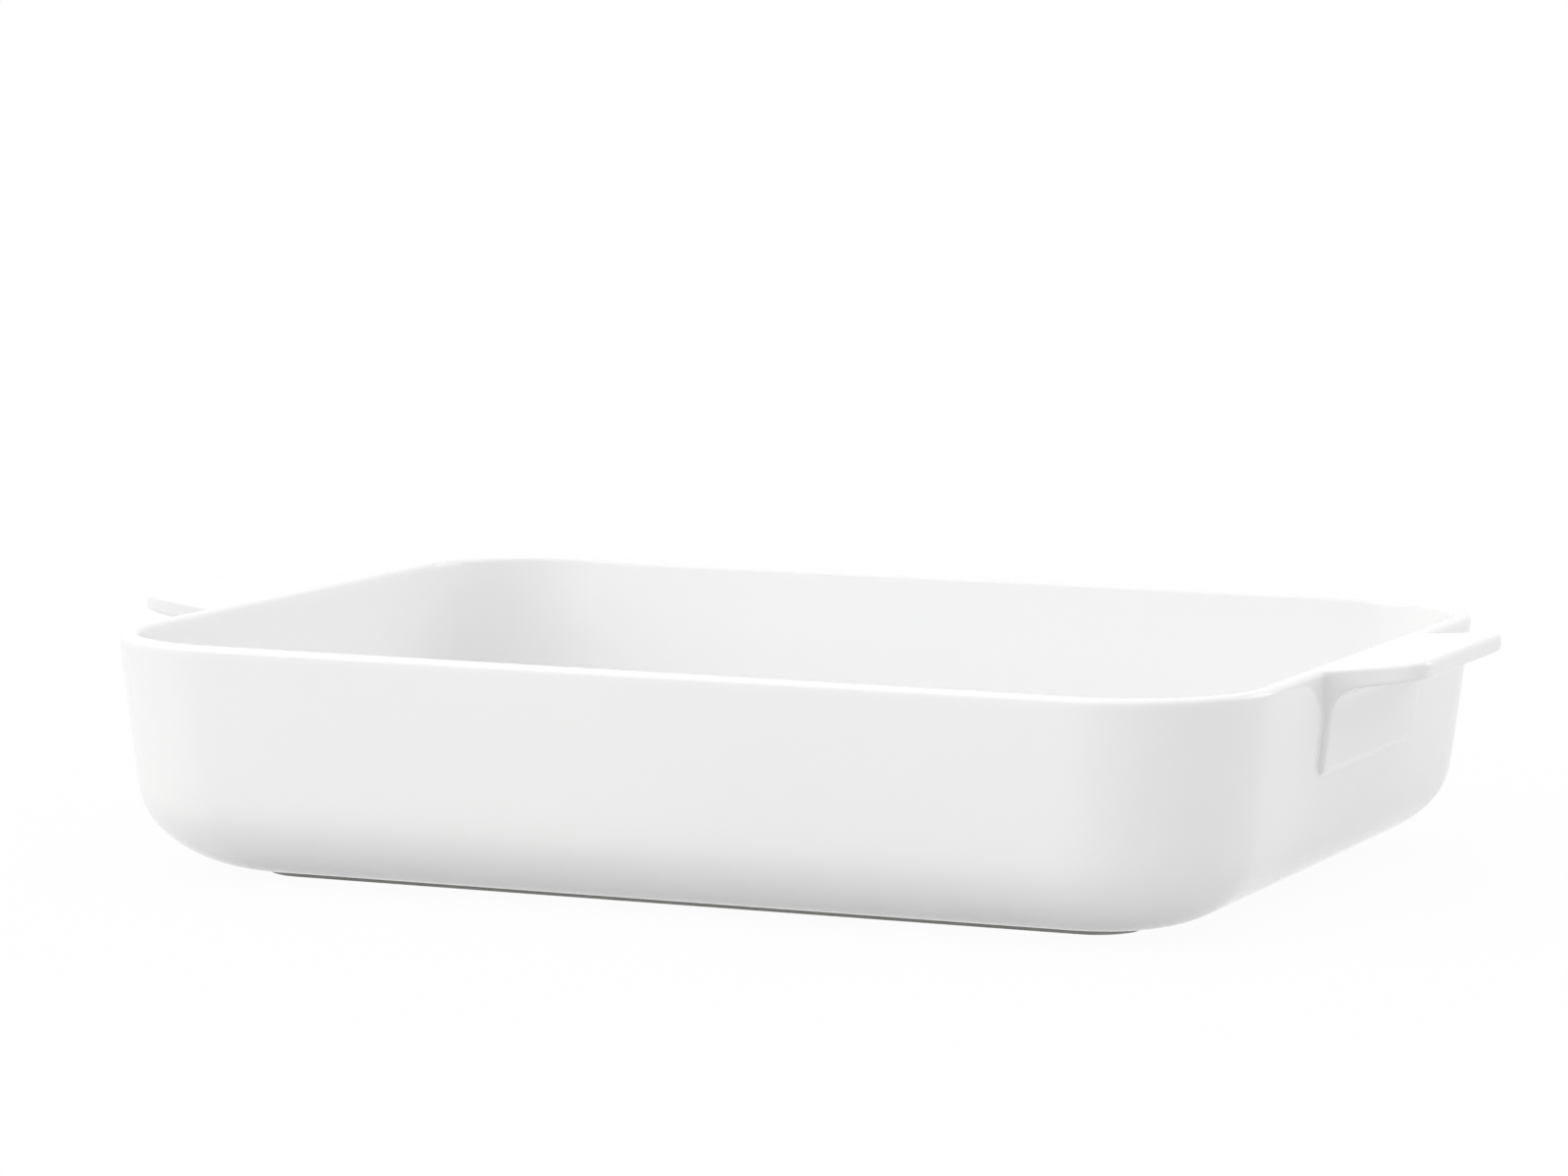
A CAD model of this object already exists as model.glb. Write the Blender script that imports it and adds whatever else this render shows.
import math

import bmesh
import bpy
from mathutils import Matrix, Vector


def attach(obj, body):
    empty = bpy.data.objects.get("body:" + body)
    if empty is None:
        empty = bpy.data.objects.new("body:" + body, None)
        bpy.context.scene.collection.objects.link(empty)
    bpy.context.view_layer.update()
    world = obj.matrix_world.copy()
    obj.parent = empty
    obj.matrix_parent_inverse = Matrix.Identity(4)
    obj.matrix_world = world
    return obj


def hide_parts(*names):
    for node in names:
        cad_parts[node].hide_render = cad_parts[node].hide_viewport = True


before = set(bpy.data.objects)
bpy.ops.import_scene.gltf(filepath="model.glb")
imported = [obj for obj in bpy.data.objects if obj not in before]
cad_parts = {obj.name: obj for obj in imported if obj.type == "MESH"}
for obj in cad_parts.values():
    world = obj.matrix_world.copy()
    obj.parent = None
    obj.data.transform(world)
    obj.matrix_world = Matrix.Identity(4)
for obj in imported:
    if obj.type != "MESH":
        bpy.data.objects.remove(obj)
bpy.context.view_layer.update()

print("frame loaded:", ", ".join(sorted(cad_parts)))

# Basin: the same sizes as the model's, in metres. The outline runs along the long side, round the corner
# and down the end wall. A level is one closed line round the casting.
basin = {
    "halfLength": 0.1475,
    "halfWidth": 0.12,
    "rimHeight": 0.06,
    "rimCorner": 0.039,
    "wallSlope": math.tan(math.radians(6)),
    "wallLean": math.radians(6),
    "curveTop": 0.0216,
    "curveDepth": 0.03,
    "bellyCorner": 0.0377,
    "baseCorner": 0.012,
    "wall": 0.005,
    "floorLevel": 0.007,
    "baseLevel": 0.0015,
    "rimRounding": 0.0017,
    "flatMargin": 0.0035,        # last line on the flat floor, in from where the curve ends
    "curveSteps": 6,
    "smoothness": 2,
    "mergeDistance": 2e-6,
    "cornerShrink": 0.4,         # share of that margin that the corner radius gives up
    "rimSteps": 3,
    "insideHeights": (0.03, 0.042, 0.053),
    "sideShares": (0, 0.4, 0.75, 1),
    "cornerSteps": 10,
    "endShares": (0.36, 0.72),
    "jointLine": 0.05,           # half width of the wall patch that goes with a handle
    "jointTop": 0.0025,          # how far in from the rim's edge that patch starts
    "seatShare": 0.2,            # a border point closer than this to the seat's plane stays
    "seatMerge": 1e-6,
    "creaseAngle": math.radians(50),
}

# Handle: flat tab, concave sweep under it, and pad on the end wall
tab = {
    "reach": 0.0225,
    "rise": 0.0025,
    "thickness": 0.0045,
    "halfTip": 0.0365,
    "halfRoot": 0.0435,
    "tipCorner": 0.008,
    "topRounding": 0.0015,
    "underRounding": 0.0009,
    "rootThickness": 0.0052,
    "lip": 0.00085,
    "sweep": 0.008,
    "halfPad": 0.0387,
    "padProud": 0.0014,
    "padRounding": 0.0012,
    "flareStart": 0.045,
    "padHeights": (0.044, 0.04, 0.0374, 0.0362, 0.0354),
    "wallHeights": (0.055, 0.0493),      # where the sweep's last lines meet the wall
    "belowPad": (0.0338, 0.0325, 0.029),
    "tipShares": (0, 0.34, 0.68, 1),
    "sideReach": (0.0125, 0.0085, 0.0048, 0.0017),   # places of the lines across the tab's side
    "rootSupport": 0.0013,
    "bandSteps": (3, 2, 3),              # top rounding, face, under rounding
    "belowSpread": 0.0006,
    "cornerSteps": 4,
    "sweepSteps": 4,
    "bulgeLoss": 0.3,                    # share of the tip corners' curve that each line further in loses
}


def fullness(step):     # a smoothed line cuts inside its points: this puts it back on its curve
    return 3 / (2 + math.cos(step))


def mix(a, b, share):
    return a + (b - a) * share


def wallReach(z):       # the end wall's outer face
    return basin["halfLength"] - (basin["rimHeight"] - z) * basin["wallSlope"]


# Levels of the quarter ellipse under a wall, from its top down
def curveLevels(thickness, bottom):
    levels = []
    steps = basin["curveSteps"]
    depth = basin["curveDepth"] - thickness
    drop = basin["curveTop"] - bottom
    start = thickness + (basin["rimHeight"] - basin["curveTop"]) * basin["wallSlope"]
    belly = basin["bellyCorner"] - thickness
    for i in range(steps + 1):
        turn = math.pi / 2 * i / steps
        full = 1 if i in (0, steps) else fullness(math.pi / 2 / steps)
        across, down = math.cos(turn) * full, math.sin(turn) * full
        lean = drop * basin["wallSlope"] * math.sin(turn) * math.cos(turn)
        inset = start + lean + depth * (1 - across)
        corner = mix(belly, basin["baseCorner"], 1 - math.cos(turn))
        levels.append((inset, corner, basin["curveTop"] - drop * down))
    return levels


def flatLevel(levels):  # one more line on the flat, so that the curve runs out smoothly
    inset, corner, z = levels[-1]
    return (inset + basin["flatMargin"], corner - basin["flatMargin"] * basin["cornerShrink"], z)


def wallLevel(thickness, z):
    share = (basin["rimHeight"] - z) / (basin["rimHeight"] - basin["curveTop"])
    corner = mix(basin["rimCorner"], basin["bellyCorner"], share) - thickness
    return (thickness + (basin["rimHeight"] - z) * basin["wallSlope"], corner, z)


# Levels of the rim's rounded edge, from the wall up to the flat top
def rimLevels(inner):
    levels = []
    r = basin["rimRounding"]
    lean = basin["wallLean"]
    steps = basin["rimSteps"]
    if inner:
        centre = basin["wall"] - r * (1 - math.sin(lean)) / math.cos(lean)
        turnFrom = math.pi - lean
    else:
        centre = r * (1 + math.sin(lean)) / math.cos(lean)
        turnFrom = -lean
    for i in range(steps + 1):
        angle = mix(turnFrom, math.pi / 2, i / steps)
        full = 1 if i in (0, steps) else fullness(abs(math.pi / 2 - turnFrom) / steps)
        inset = centre - r * math.cos(angle) * full
        z = basin["rimHeight"] - r + r * math.sin(angle) * full
        levels.append((inset, basin["rimCorner"] - inset, z))
    return levels


insideCurve = curveLevels(basin["wall"], basin["floorLevel"])
outsideCurve = curveLevels(0, basin["baseLevel"])
insideLevels = [flatLevel(insideCurve)] + insideCurve[::-1]
insideLevels += [wallLevel(basin["wall"], z) for z in basin["insideHeights"]]
insideLevels += rimLevels(True)
insideLevels.append((basin["jointTop"], basin["rimCorner"] - basin["jointTop"], basin["rimHeight"]))
outerRim = rimLevels(False)[::-1]
padWall = tab["wallHeights"] + tab["padHeights"]
stationWall = [wallLevel(0, z) for z in padWall]
lowLevels = [wallLevel(0, z) for z in tab["belowPad"]] + outsideCurve + [flatLevel(outsideCurve)]
allLevels = insideLevels + outerRim + stationWall + lowLevels
topRow = len(insideLevels)                   # row of the flat top's outer line
rootRow = topRow + basin["rimSteps"]         # row under the rim's rounded edge


def halfRoot(z):        # half width of a handle where it meets the wall's plane
    climb = min(max(z - tab["flareStart"], 0) / (basin["rimHeight"] - tab["flareStart"]), 1)
    return mix(tab["halfPad"], tab["halfRoot"], climb ** 2)


def halfSide(x, z):     # half width of a handle at any place
    share = (basin["halfLength"] + tab["reach"] - x) / tab["reach"]
    return mix(tab["halfTip"], halfRoot(z), share)


def cornerLine(row):    # where the plain wall meets the handle's side
    if row <= topRow:
        return halfSide(basin["halfLength"] - outerRim[0][0], basin["rimHeight"]) - tab["topRounding"]
    inset, corner, z = allLevels[row]
    full = halfSide(basin["halfLength"] - inset, z)
    if row < rootRow:
        turn = math.pi / 2 * (row - topRow) / basin["rimSteps"]
        return full - tab["topRounding"] * (1 - math.sin(turn))
    return full


# Lines along the long side and the corner, then those of the end wall, whose last three are the joint line,
# the line beside the handle's root and the handle's own side
sideColumns = len(basin["sideShares"]) - 1
arcEnd = sideColumns + basin["cornerSteps"]
plainColumns = arcEnd + len(basin["endShares"]) + 3


def plainPoint(row, column):
    inset, corner, z = allLevels[row]
    x = basin["halfLength"] - inset
    y = basin["halfWidth"] - inset
    if column <= sideColumns:
        return Vector(((x - corner) * basin["sideShares"][column], y, z))
    if column < arcEnd:
        step = math.pi / 2 / basin["cornerSteps"]
        angle = math.pi / 2 - step * (column - sideColumns)
        r = corner * fullness(step)
        return Vector((x - corner + r * math.cos(angle), y - corner + r * math.sin(angle), z))
    last = column - arcEnd
    line = cornerLine(row)
    stops = [y - corner]
    stops += [mix(y - corner, basin["jointLine"], share) for share in basin["endShares"]]
    stops += [basin["jointLine"], line + tab["rootSupport"], line]
    return Vector((x, stops[last], z))


def topHeight(x):
    lipReach = basin["halfLength"] - tab["lip"]
    slope = tab["rise"] / (basin["halfLength"] + tab["reach"] - lipReach)
    return basin["rimHeight"] + slope * max(x - lipReach, 0)


rootBottom = basin["rimHeight"] - tab["rootThickness"]
padReach = wallReach(rootBottom) + tab["padProud"]
tipReach = basin["halfLength"] + tab["reach"]
underSlope = (tab["rise"] + tab["rootThickness"] - tab["thickness"]) / (tipReach - padReach)


def underHeight(x):
    return rootBottom + underSlope * (x - padReach)


# Place and outward direction on the concave sweep, from the tab's underside (0) to the pad (1)
def sweepPlace(share):
    r = tab["sweep"]
    first = math.atan(underSlope) - math.pi / 2
    last = -basin["wallLean"]
    # centre of the sweep: its own radius away from both lines
    nu = Vector((math.cos(first), math.sin(first)))
    npad = Vector((math.cos(last), math.sin(last)))
    corner = Vector((padReach, rootBottom))
    centre = corner + (nu + npad) * (r / (1 + nu.dot(npad)))
    angle = mix(first, last, share)
    out = Vector((math.cos(angle), math.sin(angle)))
    return centre - out * r, out


# Lines across a handle, from its tip (0) round the underside and down the pad
underOut = Vector((math.sin(math.atan(underSlope)), -math.cos(math.atan(underSlope))))
padOut = Vector((math.cos(basin["wallLean"]), -math.sin(basin["wallLean"])))
halfCorner = tab["cornerSteps"] // 2                 # station 0 is the middle of the tip's corner
cornerStations = halfCorner + 1
rootStation = cornerStations + len(tab["sideReach"])
sweepStart = rootStation - tab["sweepSteps"] // 2    # the middle of the sweep meets the wall
lastStation = rootStation + len(padWall)


# Centre of the tip's corner arc, and how far the outline turns there, at a height
def tabOutline(z):
    lean = math.atan((halfRoot(z) - tab["halfTip"]) / tab["reach"])
    turn = math.pi / 2 - lean
    return Vector((tipReach - tab["tipCorner"],
                   tab["halfTip"] - tab["tipCorner"] * math.tan(turn / 2))), turn


# Place and outward direction in plan: stations below 0 lie on the tip, 0 is the middle of the corner
def outlinePlace(station, z):
    centre, turn = tabOutline(z)
    tipColumns = len(tab["tipShares"]) - 1
    if station <= -halfCorner:
        share = tab["tipShares"][station + halfCorner + tipColumns]
        return Vector((tipReach, centre.y * share)), Vector((1, 0))
    if station < cornerStations:
        step = turn / tab["cornerSteps"]
        angle = step * (station + halfCorner)
        full = fullness(step) if station < halfCorner else 1
        out = Vector((math.cos(angle), math.sin(angle)))
        return centre + out * tab["tipCorner"] * full, out
    x = basin["halfLength"] + tab["sideReach"][station - cornerStations]
    return Vector((x, halfSide(x, z))), Vector((math.cos(turn), math.sin(turn)))


# Place in the XZ plane and outward direction of a line on the underside, sweep or pad
def underPlace(station):
    steps = tab["sweepSteps"]
    if station < sweepStart:
        x = outlinePlace(station, rootBottom)[0].x
        return Vector((x, underHeight(x))), underOut
    if station <= sweepStart + steps:
        return sweepPlace((station - sweepStart) / steps)
    z = tab["padHeights"][station - sweepStart - steps - 1]
    return Vector((wallReach(z) + tab["padProud"], z)), padOut


def underRoundingAt(station):
    if station < rootStation:
        return tab["underRounding"]
    return tab["padRounding"]


topSteps, faceSteps, underSteps = tab["bandSteps"]
bandRows = topSteps + faceSteps + underSteps


# A point of the band that runs round a handle's edge: top rounding, face and under rounding
def bandPoint(station, row):
    if row == topSteps + 1:
        return (bandPoint(station, topSteps) + bandPoint(station, topSteps + faceSteps)) / 2
    if row <= topSteps:
        if station == rootStation:
            return plainPoint(topRow + row, plainColumns)
        if station > rootStation:
            return plainPoint(rootRow + station - rootStation, plainColumns)
        turn = math.pi / 2 * row / topSteps
        inward = tab["topRounding"] * (1 - math.sin(turn))
        down = tab["topRounding"] * (1 - math.cos(turn))
        place, out = outlinePlace(station, basin["rimHeight"] - down)
        spot = place - out * inward
        return Vector((spot.x, spot.y, topHeight(spot.x) - down))
    r = underRoundingAt(station)
    turn = math.pi / 2 * (row - topSteps - faceSteps) / underSteps
    inward = r * (1 - math.cos(turn))
    up = r * (1 - math.sin(turn))
    if station < sweepStart:
        place, out = outlinePlace(station, rootBottom + up)
        place, out = outlinePlace(station, underHeight(place.x) + up)
        spot = place - out * inward
        return Vector((spot.x, spot.y, underHeight(spot.x) + up))
    place, out = underPlace(station)
    spot = place - out * up
    return Vector((spot.x, halfSide(spot.x, spot.y) - inward, spot.y))


tabColumns = len(tab["tipShares"]) - 1 + halfCorner  # from the middle of the dish to the tip's corner


def bulge(station):     # how much of the tip corners' curve a line this far in still follows
    return max(1 - station * tab["bulgeLoss"], 0)


# A point of the strip that runs from the inner floor over a handle and down to the base
def tabPoint(row, column):
    tipStation = column - tabColumns
    edge = bandPoint(tipStation, 0)
    corner = bandPoint(0, 0)
    share = edge.y / corner.y
    if row <= topRow:                                # inside the dish and over the rim
        inset, radius, z = allLevels[row]
        return Vector((basin["halfLength"] - inset, cornerLine(row) * share, z))
    row -= topRow
    if row <= rootStation:                           # out along the tab's top
        station = rootStation - row
        side = bandPoint(station, 0)
        x = side.x + (edge.x - corner.x) * bulge(station)
        return Vector((x, side.y * share, topHeight(x)))
    row -= rootStation
    if row < bandRows:                               # over the tip's edge
        return bandPoint(tipStation, row)
    station = row - bandRows
    if station <= lastStation:                       # back under the tab and down the pad
        side = bandPoint(station, bandRows)
        low = bandPoint(tipStation, bandRows)
        shareLow = low.y / bandPoint(0, bandRows).y
        if station < sweepStart:
            x = side.x + (low.x - bandPoint(0, bandRows).x) * bulge(station)
            return Vector((x, side.y * shareLow, underHeight(x)))
        return Vector((side.x, side.y * shareLow, side.z))
    inset, radius, z = lowLevels[station - lastStation - 1]
    return Vector((basin["halfLength"] - inset, lowLine(bandRows, station) * share, z))


# How far out a line of the pad's edge lies under the pad
def lowLine(row, station):
    return cornerLine(rootRow + station - rootStation) - tab["belowSpread"] * (row - topSteps)


# A point of the handle's edge band, or of the wall under the pad
def sidePoint(station, row):
    if station <= lastStation:
        return bandPoint(station, row)
    inset, radius, z = lowLevels[station - lastStation - 1]
    return Vector((basin["halfLength"] - inset, lowLine(row, station), z))


# A grid whose points are moved to their places on the casting
def patch(mesh, rows, columns, place, part):
    made = bmesh.ops.create_grid(mesh, x_segments=columns, y_segments=rows, size=1)
    for point in made["verts"]:
        column = round((point.co.x + 1) / 2 * columns)
        row = round((point.co.y + 1) / 2 * rows)
        point.co = place(row, column)
    for face in {f for point in made["verts"] for f in point.link_faces}:
        face.material_index = part(face)


# Closes a flat floor inside its ring, which runs from the X = 0 plane to the Y = 0 plane
def flatPatch(mesh, ring):
    across = sideColumns + basin["cornerSteps"] // 2
    down = len(ring) - 1 - across
    corner = ring[across]

    def place(row, column):
        top, right = ring[column], ring[len(ring) - 1 - row]
        return Vector((right.x * top.x / corner.x, top.y * right.y / corner.y, corner.z))

    patch(mesh, down, across, place, lambda face: 0)


# 1 for the faces that belong to a handle: tab, pad and the bit of wall close round them
def isHandle(face):
    spot = face.calc_center_median()
    above = spot.z > tab["belowPad"][-1] and abs(spot.y) < basin["jointLine"]
    return 1 if above and spot.x > wallReach(spot.z) - basin["jointTop"] else 0


# The whole piece from its quarter
def mirrored(quarter):
    merge = basin["mergeDistance"]
    bmesh.ops.remove_doubles(quarter, verts=quarter.verts, dist=merge)
    for axis in ("X", "Y"):
        everything = quarter.verts[:] + quarter.edges[:] + quarter.faces[:]
        bmesh.ops.mirror(quarter, geom=everything, axis=axis, merge_dist=merge)
    bmesh.ops.remove_doubles(quarter, verts=quarter.verts, dist=merge)
    bmesh.ops.recalc_face_normals(quarter, faces=quarter.faces)
    return quarter


def buildCage():
    cage = bmesh.new()
    patch(cage, len(allLevels) - 1, plainColumns, plainPoint, isHandle)
    rows = topRow + rootStation + bandRows + lastStation + len(lowLevels)
    patch(cage, rows, tabColumns, tabPoint, isHandle)
    patch(cage, bandRows, rootStation, lambda row, column: sidePoint(column, row), isHandle)
    lowRows = lastStation - rootStation + len(lowLevels)
    patch(cage, lowRows, bandRows - topSteps,
          lambda row, column: sidePoint(rootStation + row, topSteps + column), isHandle)
    inner = [plainPoint(0, c) for c in range(plainColumns + 1)]
    inner += [tabPoint(0, c) for c in range(tabColumns - 1, -1, -1)]
    flatPatch(cage, inner)
    bottom = len(allLevels) - 1
    outer = [plainPoint(bottom, c) for c in range(plainColumns + 1)]
    end = lastStation + len(lowLevels)
    outer += [sidePoint(end, topSteps + c) for c in range(1, bandRows - topSteps + 1)]
    outer += [tabPoint(rows, c) for c in range(tabColumns - 1, -1, -1)]
    flatPatch(cage, outer)
    return mirrored(cage)


def smoothed(cage, name, levels):
    mesh = bpy.data.meshes.new(name)
    cage.to_mesh(mesh)
    cage.free()
    holder = bpy.data.objects.new(name, mesh)
    bpy.context.scene.collection.objects.link(holder)
    finer = holder.modifiers.new("finer", "SUBSURF")
    finer.levels = levels
    finer.render_levels = levels
    ready = holder.evaluated_get(bpy.context.evaluated_depsgraph_get())
    result = bpy.data.meshes.new_from_object(ready)
    bpy.data.objects.remove(holder)
    return result


def newPiece(name, mesh, material):
    data = bpy.data.meshes.new(name)
    mesh.to_mesh(data)
    mesh.free()
    data.materials.append(material)
    made = bpy.data.objects.new(name, data)
    bpy.context.scene.collection.objects.link(made)
    print(name, len(data.polygons), "faces")
    return made


# One piece of the casting, closed where it sits against its neighbours inside the wall
def castingPiece(whole, name, part, material):
    piece = bmesh.new()
    piece.from_mesh(whole)

    def belongs(face):
        side = 1 if face.calc_center_median().x > 0 else -1
        return face.material_index * side == part

    strangers = [f for f in piece.faces if not belongs(f)]
    bmesh.ops.delete(piece, geom=strangers, context="FACES")
    border = [e for e in piece.edges if e.is_boundary]
    made = bmesh.ops.extrude_edge_only(piece, edges=border)
    seat = [v for v in made["geom"] if isinstance(v, bmesh.types.BMVert)]
    for v in seat:
        reach = wallReach(v.co.z) - basin["jointTop"]
        if abs(v.co.x) - reach > basin["jointTop"] * basin["seatShare"]:
            v.co.x = math.copysign(reach, v.co.x)
    bmesh.ops.remove_doubles(piece, verts=piece.verts, dist=basin["seatMerge"])
    hidden = [e for e in piece.edges if e.is_boundary]
    bmesh.ops.holes_fill(piece, edges=hidden, sides=0)
    caps = [f for f in piece.faces if len(f.verts) > 4]
    bmesh.ops.triangulate(piece, faces=caps, quad_method="BEAUTY", ngon_method="BEAUTY")
    bmesh.ops.recalc_face_normals(piece, faces=piece.faces)
    for face in piece.faces:
        face.smooth = True
        face.material_index = 0
    for edge in piece.edges:
        edge.smooth = edge.is_manifold and edge.calc_face_angle(0) < basin["creaseAngle"]
    return newPiece(name, piece, material)


cage = buildCage()
print("casting cage:", len(cage.faces), "faces")
casting = smoothed(cage, "casting", basin["smoothness"])


# A node with its settings: properties by name, or else values of its sockets
def addNode(tree, kind, **settings):
    node = tree.nodes.new(kind)
    for key, value in settings.items():
        if hasattr(node, key):
            setattr(node, key, value)
        else:
            node.inputs[key].default_value = value
    return node


def wire(tree, source, target):
    tree.links.new(source, target)


def calc(tree, operation, first, second, clamp=False):
    node = addNode(tree, "ShaderNodeMath", operation=operation, use_clamp=clamp)
    for socket, value in zip(node.inputs, (first, second)):
        if isinstance(value, (int, float)):
            socket.default_value = value
        else:
            wire(tree, value, socket)
    return node.outputs[0]


def rangeOf(tree, value, low, high, to=(0, 1)):
    node = addNode(tree, "ShaderNodeMapRange", interpolation_type="SMOOTHSTEP")
    wire(tree, value, node.inputs["Value"])
    node.inputs["From Min"].default_value = low
    node.inputs["From Max"].default_value = high
    node.inputs["To Min"].default_value = to[0]
    node.inputs["To Max"].default_value = to[1]
    return node.outputs["Result"]


# Mix of two colours, each a plain colour or a socket. A mix node has sockets of the same name for numbers,
# vectors and colours, so the colours' ones are counted.
colourSockets = (6, 7)
colourResult = 2


def blend(tree, mask, first, second):
    node = addNode(tree, "ShaderNodeMix", data_type="RGBA")
    wire(tree, mask, node.inputs["Factor"])
    for number, value in zip(colourSockets, (first, second)):
        if isinstance(value, tuple):
            node.inputs[number].default_value = (*value, 1)
        else:
            wire(tree, value, node.inputs[number])
    return node.outputs[colourResult]


def newGroup(name, inputs, outputs):
    group = bpy.data.node_groups.new(name, "ShaderNodeTree")
    for label, kind, value in inputs:
        socket = group.interface.new_socket(label, in_out="INPUT", socket_type=kind)
        if value is not None:
            socket.default_value = value
    for label in outputs:
        group.interface.new_socket(label, in_out="OUTPUT", socket_type="NodeSocketFloat")
    return group, group.nodes.new("NodeGroupInput"), group.nodes.new("NodeGroupOutput")


# Name, scale and detail of each layer of waves
firing = {
    "layers": (("Waves", 1, 2), ("Ripple", 11, 3)),
    "roughness": 0.45,
}


# Slow waves left by the mould and the firing, in two sizes
def wavesGroup():
    group, give, out = newGroup("firedWaves",
                                [("Place", "NodeSocketVector", None), ("Scale", "NodeSocketFloat", 10.0)],
                                [label for label, share, detail in firing["layers"]])
    for label, share, detail in firing["layers"]:
        noise = addNode(group, "ShaderNodeTexNoise", Detail=detail, Roughness=firing["roughness"])
        wire(group, give.outputs["Place"], noise.inputs["Vector"])
        wire(group, calc(group, "MULTIPLY", give.outputs["Scale"], share), noise.inputs["Scale"])
        wire(group, noise.outputs["Fac"], out.inputs[label])
    return group


# Specks or pinholes: one in every few cells, round and tiny
def specksGroup():
    group, give, out = newGroup("kilnSpecks",
                                [("Place", "NodeSocketVector", None), ("Scale", "NodeSocketFloat", 100.0),
                                 ("Share", "NodeSocketFloat", 0.1), ("Size", "NodeSocketFloat", 0.06)],
                                ["Specks"])
    cells = addNode(group, "ShaderNodeTexVoronoi")
    wire(group, give.outputs["Place"], cells.inputs["Vector"])
    wire(group, give.outputs["Scale"], cells.inputs["Scale"])
    chosen = addNode(group, "ShaderNodeSeparateColor")
    wire(group, cells.outputs["Color"], chosen.inputs["Color"])
    picked = calc(group, "LESS_THAN", chosen.outputs["Red"], give.outputs["Share"])
    reach = calc(group, "MULTIPLY", give.outputs["Size"], chosen.outputs["Green"])
    inside = calc(group, "SUBTRACT", reach, cells.outputs["Distance"])
    dot = calc(group, "DIVIDE", inside, reach, clamp=True)
    wire(group, calc(group, "MULTIPLY", dot, picked), out.inputs["Specks"])
    return group


waves = wavesGroup()
specks = specksGroup()


def useGroup(tree, group, place, **values):
    node = addNode(tree, "ShaderNodeGroup", node_tree=group)
    wire(tree, place, node.inputs["Place"])
    for key, value in values.items():
        node.inputs[key].default_value = value
    return node


def newMaterial(name, **plain):
    material = bpy.data.materials.new(name)
    material.use_nodes = True
    tree = material.node_tree
    shader = tree.nodes["Principled BSDF"]
    for key, value in plain.items():
        shader.inputs[key].default_value = value
    place = addNode(tree, "ShaderNodeTexCoord").outputs["Object"]
    return material, tree, shader, place


glazeLook = {
    "white": (0.885, 0.884, 0.88),
    "cool": (0.873, 0.874, 0.874),
    "thin": (0.858, 0.856, 0.852),       # where the glaze runs thin over the rim
    "pooled": (0.858, 0.861, 0.86),      # where it gathers low on the walls
    "thinFrom": (0.0583, 0.0601),
    "pooledFrom": (0.02, 0.008),
    "thinShare": 0.8,
    "runs": 0.003,                       # how unevenly both begin
    "rippleMiddle": 0.5,
    "hole": (0.55, 0.53, 0.5),
    "holeShade": 0.35,
    "coolFrom": (0.35, 0.65),
    "rippleFrom": (0.3, 0.7),
    "roughness": (0.045, 0.085),
    "waveScale": 11,
    "waveHeight": 0.00035,
    "rippleHeight": 0.000012,
    "pinholeScale": 55,
    "pinholeShare": 0.06,
    "pinholeSize": 0.022,
    "pinholeDepth": 0.00008,
}


# Clear gloss glaze over white porcelain
def glazeMaterial():
    look = glazeLook
    material, tree, shader, place = newMaterial("whiteGlaze", IOR=1.5)
    fired = useGroup(tree, waves, place, Scale=look["waveScale"])
    holes = useGroup(tree, specks, place, Scale=look["pinholeScale"], Share=look["pinholeShare"],
                     Size=look["pinholeSize"]).outputs["Specks"]
    tone = blend(tree, rangeOf(tree, fired.outputs["Waves"], *look["coolFrom"]), look["white"], look["cool"])
    axes = addNode(tree, "ShaderNodeSeparateXYZ")
    wire(tree, place, axes.inputs["Vector"])
    uneven = calc(tree, "SUBTRACT", fired.outputs["Ripple"], look["rippleMiddle"])
    level = calc(tree, "ADD", axes.outputs["Z"], calc(tree, "MULTIPLY", uneven, look["runs"]))
    tone = blend(tree, rangeOf(tree, level, *look["thinFrom"], (0, look["thinShare"])), tone, look["thin"])
    tone = blend(tree, rangeOf(tree, level, *look["pooledFrom"]), tone, look["pooled"])
    tone = blend(tree, calc(tree, "MULTIPLY", holes, look["holeShade"]), tone, look["hole"])
    wire(tree, tone, shader.inputs["Base Color"])
    ripple = fired.outputs["Ripple"]
    wire(tree, rangeOf(tree, ripple, *look["rippleFrom"], look["roughness"]), shader.inputs["Roughness"])
    height = calc(tree, "MULTIPLY", fired.outputs["Waves"], look["waveHeight"])
    height = calc(tree, "ADD", height, calc(tree, "MULTIPLY", ripple, look["rippleHeight"]))
    height = calc(tree, "SUBTRACT", height, calc(tree, "MULTIPLY", holes, look["pinholeDepth"]))
    bump = addNode(tree, "ShaderNodeBump", Distance=1.0, Strength=1.0)
    wire(tree, height, bump.inputs["Height"])
    wire(tree, bump.outputs["Normal"], shader.inputs["Normal"])
    return material


bareLook = {
    "body": (0.82, 0.8, 0.765),
    "ground": (0.74, 0.72, 0.69),        # rubbed by shelves and worktops
    "speck": (0.42, 0.36, 0.3),
    "roughness": (0.62, 0.82),
    "waveScale": 90,
    "grainScale": 2600,
    "grainHeight": 0.00003,
    "speckScale": 260,
    "speckShare": 0.05,
    "speckSize": 0.1,
    "speckShade": 0.8,
    "groundFrom": (0.4, 0.62),
    "roughFrom": (0.3, 0.7),
    "grainDetail": 2,
    "grainStrength": 0.8,
}


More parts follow.
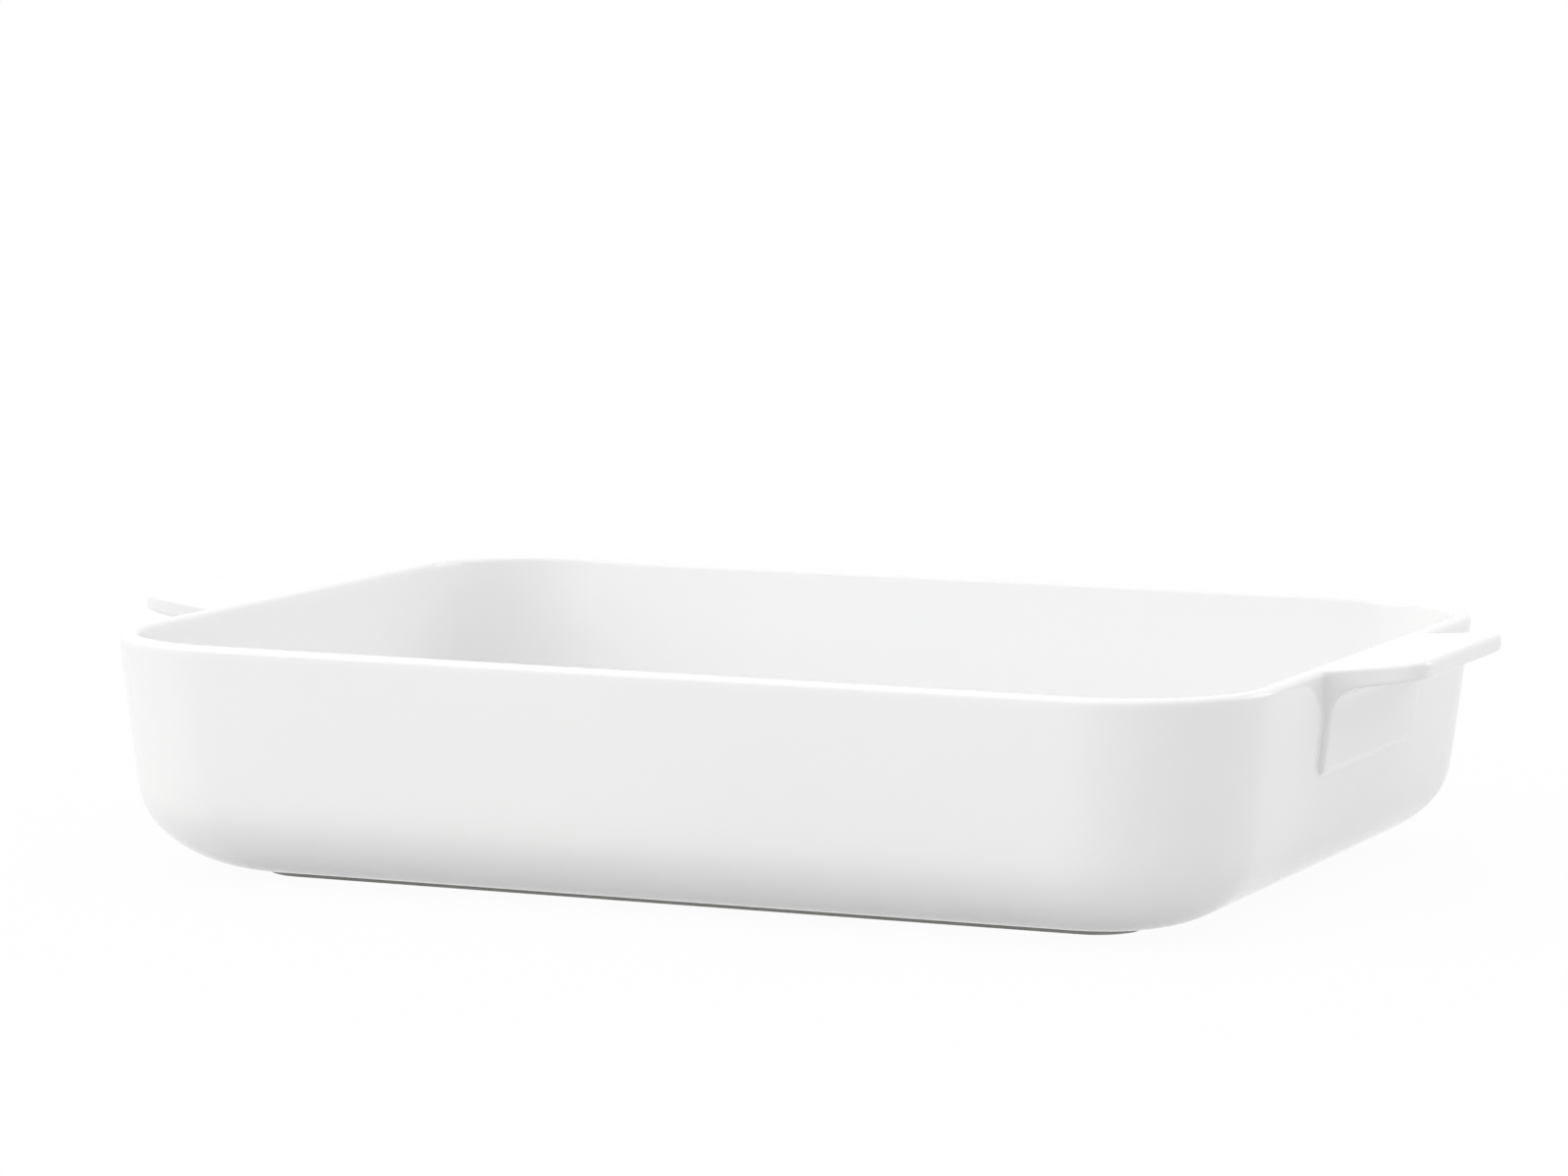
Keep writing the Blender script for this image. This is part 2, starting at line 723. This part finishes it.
# Unglazed porcelain of the standing ring, ground flat
def bareMaterial():
    look = bareLook
    material, tree, shader, place = newMaterial("barePorcelain", IOR=1.45)
    rubbed = useGroup(tree, waves, place, Scale=look["waveScale"])
    dots = useGroup(tree, specks, place, Scale=look["speckScale"], Share=look["speckShare"],
                    Size=look["speckSize"]).outputs["Specks"]
    worn = rangeOf(tree, rubbed.outputs["Waves"], *look["groundFrom"])
    tone = blend(tree, worn, look["body"], look["ground"])
    tone = blend(tree, calc(tree, "MULTIPLY", dots, look["speckShade"]), tone, look["speck"])
    wire(tree, tone, shader.inputs["Base Color"])
    wire(tree, rangeOf(tree, rubbed.outputs["Waves"], *look["roughFrom"], look["roughness"][::-1]),
         shader.inputs["Roughness"])
    grain = addNode(tree, "ShaderNodeTexNoise", Scale=look["grainScale"], Detail=look["grainDetail"])
    wire(tree, place, grain.inputs["Vector"])
    bump = addNode(tree, "ShaderNodeBump", Distance=1.0, Strength=look["grainStrength"])
    wire(tree, calc(tree, "MULTIPLY", grain.outputs["Fac"], look["grainHeight"]), bump.inputs["Height"])
    wire(tree, bump.outputs["Normal"], shader.inputs["Normal"])
    return material


glaze = glazeMaterial()
bare = bareMaterial()
print("materials made")

dishBasin = castingPiece(casting, "dishBasin", 0, glaze)
rightTab = castingPiece(casting, "rightTab", 1, glaze)
leftTab = castingPiece(casting, "leftTab", -1, glaze)
bpy.data.meshes.remove(casting)

standingRing = {
    "height": 0.0015,
    "width": 0.006,
    "setback": 0.0005,
    "rounding": 0.0005,
    "sideShares": (0, 0.5, 1),
    "cornerSteps": 8,
    "turns": (0, math.pi / 6, math.pi / 3, math.pi / 2),
    "support": 0.6,              # share of the rounding between the top edge and the line that holds it
    "smoothness": 1,
}


def buildRing():
    ring = bmesh.new()
    h, w, r = standingRing["height"], standingRing["width"], standingRing["rounding"]
    inset = outsideCurve[-1][0] + standingRing["setback"]
    section = [(0, h), (0, h - r * standingRing["support"])]
    section += [(r - r * math.cos(t), r - r * math.sin(t)) for t in standingRing["turns"]]
    section += [(w - o, z) for o, z in section[::-1]]
    shares = standingRing["sideShares"]
    steps = standingRing["cornerSteps"]
    columns = 2 * (len(shares) - 1) + steps

    def place(row, column):
        across, z = section[row % len(section)]
        x = basin["halfLength"] - inset - across
        y = basin["halfWidth"] - inset - across
        corner = basin["baseCorner"] - across
        if column < len(shares):
            return Vector(((x - corner) * shares[column], y, z))
        if column < len(shares) + steps:
            angle = math.pi / 2 * (1 - (column - len(shares) + 1) / steps)
            full = fullness(math.pi / 2 / steps) if 0 < angle < math.pi / 2 else 1
            return Vector((x - corner + corner * full * math.cos(angle),
                           y - corner + corner * full * math.sin(angle), z))
        return Vector((x, (y - corner) * shares[columns - column], z))

    patch(ring, len(section), columns, place, lambda face: 0)
    return mirrored(ring)


smoothRing = smoothed(buildRing(), "ring", standingRing["smoothness"])
ringMesh = bmesh.new()
ringMesh.from_mesh(smoothRing)
for face in ringMesh.faces:
    face.smooth = True
footRing = newPiece("footRing", ringMesh, bare)
bpy.data.meshes.remove(smoothRing)

replaced = ((dishBasin, "dish_body", "white_glaze"), (rightTab, "right_handle", "white_glaze"),
            (leftTab, "left_handle", "white_glaze"), (footRing, "foot_ring", "bare_porcelain"))
for piece, node, slotName in replaced:
    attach(piece, "root")
    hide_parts(node)

view = {
    "azimuth": math.radians(21.639),
    "elevation": math.radians(6.143),
    "roll": math.radians(0.602),
    "distance": 1.5656,
    "target": (-0.00724, 0, 0.0678),
    "lens": 143.06,
}


def addCamera():
    az, el, roll = view["azimuth"], view["elevation"], view["roll"]
    back = Vector((math.sin(az) * math.cos(el), -math.cos(az) * math.cos(el), math.sin(el)))
    right = Vector((math.cos(az), math.sin(az), 0))
    up = back.cross(right)
    rightRolled = right * math.cos(roll) + up * math.sin(roll)
    upRolled = up * math.cos(roll) - right * math.sin(roll)
    data = bpy.data.cameras.new("camera")
    data.lens = view["lens"]
    camera = bpy.data.objects.new("camera", data)
    place = Vector(view["target"]) + back * view["distance"]
    turned = Matrix((rightRolled, upRolled, back)).transposed().to_4x4()
    camera.matrix_world = Matrix.Translation(place) @ turned
    bpy.context.scene.collection.objects.link(camera)
    bpy.context.scene.camera = camera


addCamera()
bpy.context.scene.view_settings.view_transform = "Standard"

studio = {
    "ambient": 0.83,
    "coneLight": 0.45,           # ambient light from the dimmer side of the room, front right
    "coneAim": (0.754, -0.633, 0.174),
    "coneReach": (0.55, 0.95),
    "floorWhite": 0.77,
    "floorHalf": 4,
    "underGlow": 0.3,            # light on the sheet right under the dish, so that its base can be seen
    "underX": (0.116, 0.106),
    "underY": (0.088, 0.078),
    "shadowShare": 0.04,         # how much of the real floor the camera sees beside plain white
    "shadowReach": (0.24, 0.5),  # the shadow's share fades out between these distances
}

# Soft boxes: place, size and power in watts. All of them aim at the dish.
lamps = {
    "top": ((0, 0, 1.6), (2.6, 2.6), 8.0),
    "topFront": ((-0.2, -1.1, 1.5), (2.2, 1.4), 5.6),
    "frontLeft": ((-1.6, -1.5, 1.1), (1.8, 1.2), 9.8),
    "backRight": ((1.3, 1.4, 0.8), (1.4, 1.0), 5.74),
}


# White for the camera and in reflections, through one mask of the ray's kind
def seenDirectly(tree):
    ray = addNode(tree, "ShaderNodeLightPath")
    seen = calc(tree, "MAXIMUM", ray.outputs["Is Camera Ray"], ray.outputs["Is Glossy Ray"])
    return calc(tree, "MAXIMUM", seen, ray.outputs["Is Transmission Ray"])


def addWorld():
    world = bpy.data.worlds.new("studio")
    world.use_nodes = True
    tree = world.node_tree
    ambient = tree.nodes["Background"]
    ambient.inputs["Color"].default_value = (1, 1, 1, 1)
    direction = addNode(tree, "ShaderNodeTexCoord").outputs["Generated"]
    aim = addNode(tree, "ShaderNodeVectorMath", operation="DOT_PRODUCT")
    wire(tree, direction, aim.inputs[0])
    aim.inputs[1].default_value = studio["coneAim"]
    around = (studio["ambient"], studio["coneLight"])
    strength = rangeOf(tree, aim.outputs["Value"], *studio["coneReach"], around)
    wire(tree, strength, ambient.inputs["Strength"])
    backdrop = addNode(tree, "ShaderNodeBackground", Color=(1, 1, 1, 1), Strength=1.0)
    either = addNode(tree, "ShaderNodeMixShader")
    wire(tree, seenDirectly(tree), either.inputs["Fac"])
    wire(tree, ambient.outputs[0], either.inputs[1])
    wire(tree, backdrop.outputs[0], either.inputs[2])
    wire(tree, either.outputs[0], tree.nodes["World Output"].inputs["Surface"])
    bpy.context.scene.world = world


def addLamp(name, place, size, power):
    data = bpy.data.lights.new(name, "AREA")
    data.shape = "RECTANGLE"
    data.size, data.size_y = size
    data.energy = power
    lamp = bpy.data.objects.new(name, data)
    lamp.location = place
    lamp.rotation_euler = (-Vector(place)).to_track_quat("-Z", "Y").to_euler()
    bpy.context.scene.collection.objects.link(lamp)


def addFloor():
    material = bpy.data.materials.new("paleFloor")
    material.use_nodes = True
    tree = material.node_tree
    tree.nodes.remove(tree.nodes["Principled BSDF"])
    white = studio["floorWhite"]
    plain = addNode(tree, "ShaderNodeBsdfDiffuse", Color=(white, white, white, 1))
    paper = addNode(tree, "ShaderNodeEmission", Color=(1, 1, 1, 1), Strength=1.0)
    place = addNode(tree, "ShaderNodeTexCoord").outputs["Object"]
    distance = addNode(tree, "ShaderNodeVectorMath", operation="LENGTH")
    wire(tree, place, distance.inputs[0])
    share = studio["shadowShare"]
    hidden = rangeOf(tree, distance.outputs["Value"], *studio["shadowReach"], (1 - share, 1))
    axes = addNode(tree, "ShaderNodeSeparateXYZ")
    wire(tree, place, axes.inputs["Vector"])
    nearX = rangeOf(tree, calc(tree, "ABSOLUTE", axes.outputs["X"], 0), *studio["underX"])
    nearY = rangeOf(tree, calc(tree, "ABSOLUTE", axes.outputs["Y"], 0), *studio["underY"])
    glow = calc(tree, "MULTIPLY", calc(tree, "MULTIPLY", nearX, nearY), studio["underGlow"])
    either = addNode(tree, "ShaderNodeMixShader")
    seen = calc(tree, "MULTIPLY", seenDirectly(tree), hidden)
    wire(tree, calc(tree, "MAXIMUM", seen, glow), either.inputs["Fac"])
    wire(tree, plain.outputs[0], either.inputs[1])
    wire(tree, paper.outputs[0], either.inputs[2])
    # seen from below, the sheet lets the underside show
    through = addNode(tree, "ShaderNodeBsdfTransparent")
    sided = addNode(tree, "ShaderNodeMixShader")
    wire(tree, addNode(tree, "ShaderNodeNewGeometry").outputs["Backfacing"], sided.inputs["Fac"])
    wire(tree, either.outputs[0], sided.inputs[1])
    wire(tree, through.outputs[0], sided.inputs[2])
    wire(tree, sided.outputs[0], tree.nodes["Material Output"].inputs["Surface"])
    sheet = bmesh.new()
    bmesh.ops.create_grid(sheet, x_segments=1, y_segments=1, size=studio["floorHalf"])
    data = bpy.data.meshes.new("floor")
    sheet.to_mesh(data)
    sheet.free()
    data.materials.append(material)
    floor = bpy.data.objects.new("floor", data)
    bpy.context.scene.collection.objects.link(floor)


addWorld()
addFloor()
for name, (place, size, power) in lamps.items():
    addLamp(name, place, size, power)
print("studio ready")
